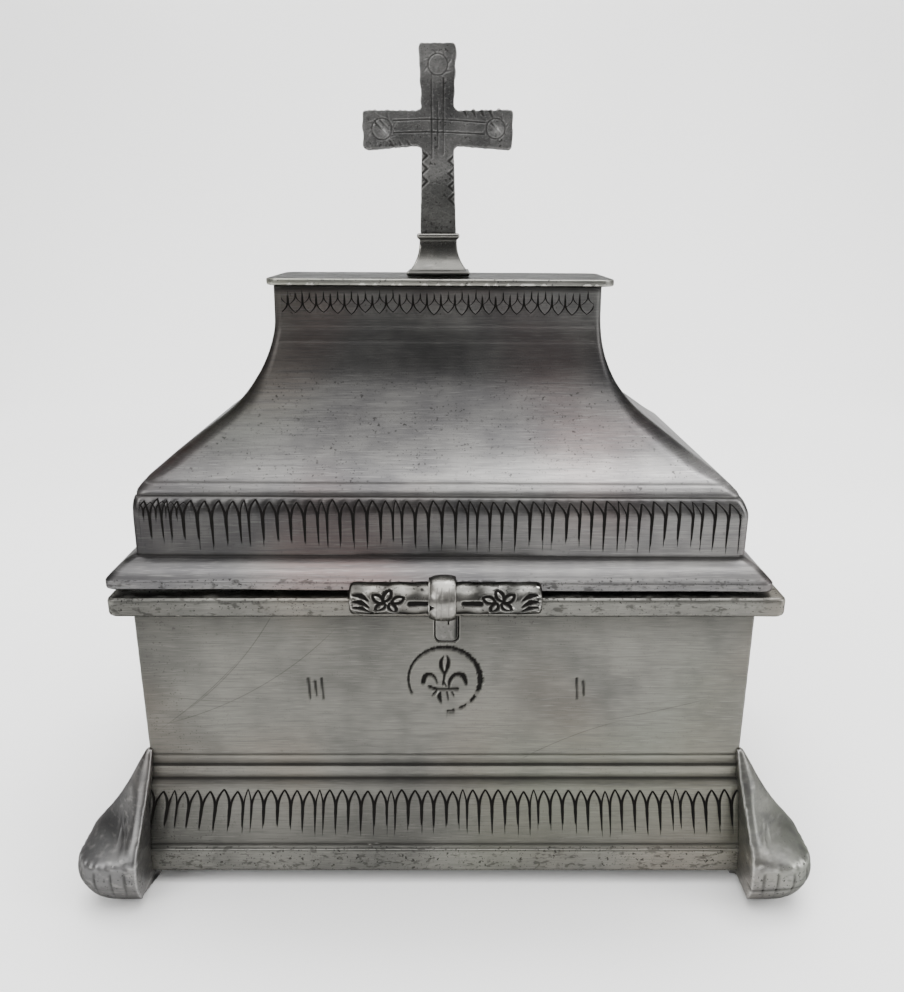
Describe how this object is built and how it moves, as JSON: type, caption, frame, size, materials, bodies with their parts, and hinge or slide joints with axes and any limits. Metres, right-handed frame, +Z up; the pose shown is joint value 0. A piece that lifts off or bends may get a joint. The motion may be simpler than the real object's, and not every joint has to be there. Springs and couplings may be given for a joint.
{
  "type": "holy oils casket",
  "caption": "Cast pewter casket with a hinged, concave roof-shaped lid topped by a cross, standing on leaf-shaped corner feet.",
  "frame": {"origin": "on the ground, under the middle of the box", "axes": "+Z up, +X to the right of someone who faces the front, the front with the hinge bar faces -Y"},
  "size_m": [0.2342, 0.1632, 0.2628],
  "materials": {
    "cast_pewter": "brushed cast pewter with a grey patina",
    "lid_pewter": "brushed cast pewter, darker up the roof",
    "polished_pewter": "rubbed pewter, darkened in the engraving",
    "cross_pewter": "dark, rough cast pewter"
  },
  "bodies": {
    "box": {"box_body": "cast_pewter", "foot_front_left": "cast_pewter", "foot_front_right": "cast_pewter", "foot_back_left": "cast_pewter", "foot_back_right": "cast_pewter", "hinge_strap": "polished_pewter"},
    "lid": {"lid_shell": "lid_pewter", "lid_top_plate": "lid_pewter", "hinge_bar": "polished_pewter", "cross_socle": "polished_pewter", "cross": "cross_pewter"}
  },
  "joints": [
    {"name": "lid_hinge", "type": "hinge", "parent": "box", "child": "lid", "pos_m": [0, -0.0673, 0.10325], "axis": [1, 0, 0], "range_deg": [0, 105]}
  ]
}
